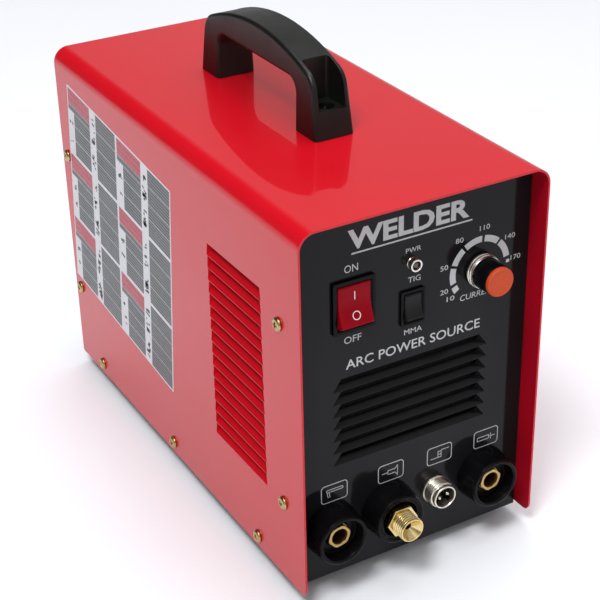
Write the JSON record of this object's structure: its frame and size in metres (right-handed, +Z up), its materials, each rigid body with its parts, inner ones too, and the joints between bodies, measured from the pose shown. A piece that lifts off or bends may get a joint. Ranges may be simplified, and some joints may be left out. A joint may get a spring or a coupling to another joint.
{
  "type": "tig welder",
  "caption": "Compact inverter TIG and stick welder: folded steel case with louvres, carrying handle, rocker switches, current knob, cable, torch and control sockets, and rear fan.",
  "frame": {"origin": "centre of the outline on the floor under the feet", "axes": "+X to the right seen from the front panel, +Y from the front panel to the rear, +Z up"},
  "size_m": [0.1594, 0.3552, 0.2846],
  "materials": {
    "hood": "gloss red enamel",
    "panels": "satin black powder coat",
    "handle": "fine grained moulding",
    "zinc_screws": "yellow zinc plate",
    "rubber": "moulded",
    "black_plastic": "satin moulding",
    "red_rocker": "clear red gloss",
    "nickel": "nickel plate",
    "lamp_lens": "dark clear lens",
    "orange_cap": "satin orange",
    "brass": "machined",
    "aluminium": "extruded",
    "circuit_board": "solder resist",
    "winding": "varnished copper winding on ferrite",
    "core_iron": "laminated core",
    "capacitor_sleeve": "shrink sleeve"
  },
  "bodies": {
    "case": {"hood": "hood", "front_panel": "panels", "rear_panel": "panels", "base_tray": "panels", "handle": "handle", "handle_screw_front": "zinc_screws", "handle_screw_rear": "zinc_screws", "hood_screw_01": "zinc_screws", "hood_screw_02": "zinc_screws", "hood_screw_03": "zinc_screws", "hood_screw_04": "zinc_screws", "hood_screw_05": "zinc_screws", "hood_screw_06": "zinc_screws", "hood_screw_07": "zinc_screws", "hood_screw_08": "zinc_screws", "hood_screw_09": "zinc_screws", "hood_screw_10": "zinc_screws", "hood_screw_11": "zinc_screws", "hood_screw_12": "zinc_screws", "hood_screw_13": "zinc_screws", "hood_screw_14": "zinc_screws", "foot_1": "rubber", "foot_2": "rubber", "foot_3": "rubber", "foot_4": "rubber", "power_housing": "black_plastic", "mode_housing": "black_plastic", "socket_housing_left": "black_plastic", "socket_housing_right": "black_plastic", "torch_socket_housing": "black_plastic", "control_socket_insert": "black_plastic", "cable_gland": "black_plastic", "fan_frame": "black_plastic", "lamp_holder": "nickel", "control_socket_shell": "nickel", "fan_guard": "nickel", "earth_stud": "nickel", "lamp_lens": "lamp_lens", "socket_contact_left": "brass", "socket_contact_right": "brass", "torch_gas_fitting": "brass", "gas_inlet": "brass", "gas_valve": "brass", "potentiometer": "aluminium", "heatsink_left": "aluminium", "heatsink_right": "aluminium", "inverter_board": "circuit_board", "control_board": "circuit_board", "transformer": "winding", "arc_starting_coil": "winding", "output_choke": "core_iron", "capacitor_front": "capacitor_sleeve", "capacitor_rear": "capacitor_sleeve"},
    "power_rocker": {"power_rocker": "red_rocker"},
    "mode_rocker": {"mode_rocker": "black_plastic"},
    "current_knob": {"potentiometer_shaft": "nickel", "knob_body": "black_plastic", "knob_ring": "nickel", "knob_cap": "orange_cap"},
    "fan_rotor": {"fan_rotor": "black_plastic"}
  },
  "joints": [
    {"name": "power_rocker_tilt", "type": "hinge", "parent": "case", "child": "power_rocker", "pos_m": [-0.0376, -0.14955, 0.1798], "axis": [1, 0, 0], "range_deg": [0, 20]},
    {"name": "mode_rocker_tilt", "type": "hinge", "parent": "case", "child": "mode_rocker", "pos_m": [-0.0006, -0.14915, 0.1677], "axis": [1, 0, 0], "range_deg": [0, 20]},
    {"name": "current_knob_turn", "type": "hinge", "parent": "case", "child": "current_knob", "pos_m": [0.0435, -0.16055, 0.178], "axis": [0, -1, 0], "range_deg": [-135, 135]},
    {"name": "fan_spin", "type": "hinge", "parent": "case", "child": "fan_rotor", "pos_m": [0, 0.13955, 0.14], "axis": [0, 1, 0], "continuous": true}
  ]
}
